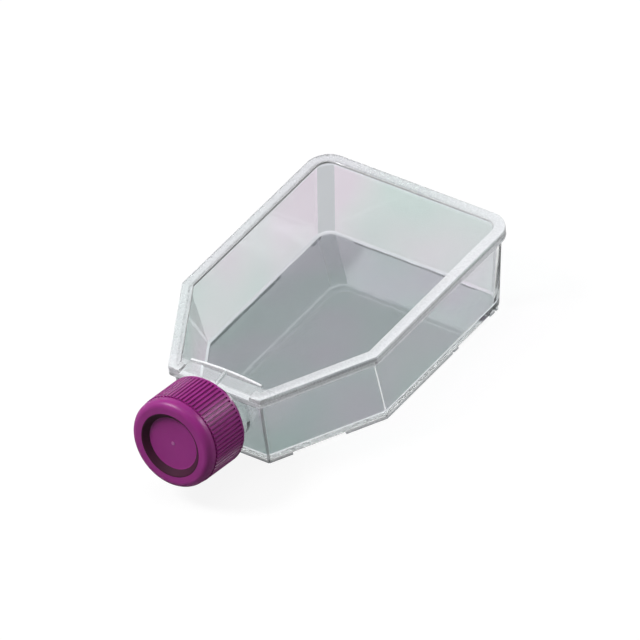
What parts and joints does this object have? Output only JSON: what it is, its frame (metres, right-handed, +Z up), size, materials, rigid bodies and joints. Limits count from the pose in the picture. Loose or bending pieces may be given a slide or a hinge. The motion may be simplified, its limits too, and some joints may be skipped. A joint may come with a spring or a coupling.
{
  "type": "cell culture flask",
  "caption": "Clear six-sided cell culture flask lying on its base, with a raised rim round the top, sloping shoulders and a canted neck closed by a purple ribbed screw cap.",
  "frame": {"origin": "on the resting plane, in the middle of the foot ridge under the front wall", "axes": "+Z up, +Y from the neck towards the back, +X across; the neck and its cap lie at negative Y"},
  "size_m": [0.0844, 0.1566, 0.0424],
  "materials": {
    "clear_tray": "clear polystyrene, polished",
    "clear_plate": "clear polystyrene, polished",
    "purple_cap": "moulded polyethylene, satin"
  },
  "bodies": {
    "flask": {"flask_tray": "clear_tray", "top_plate": "clear_plate"},
    "cap": {"screw_cap": "purple_cap"}
  },
  "joints": [
    {"name": "cap_off", "type": "slide", "parent": "flask", "child": "cap", "axis": [0, -0.9863, 0.165], "range_m": [0, 0.03]}
  ]
}
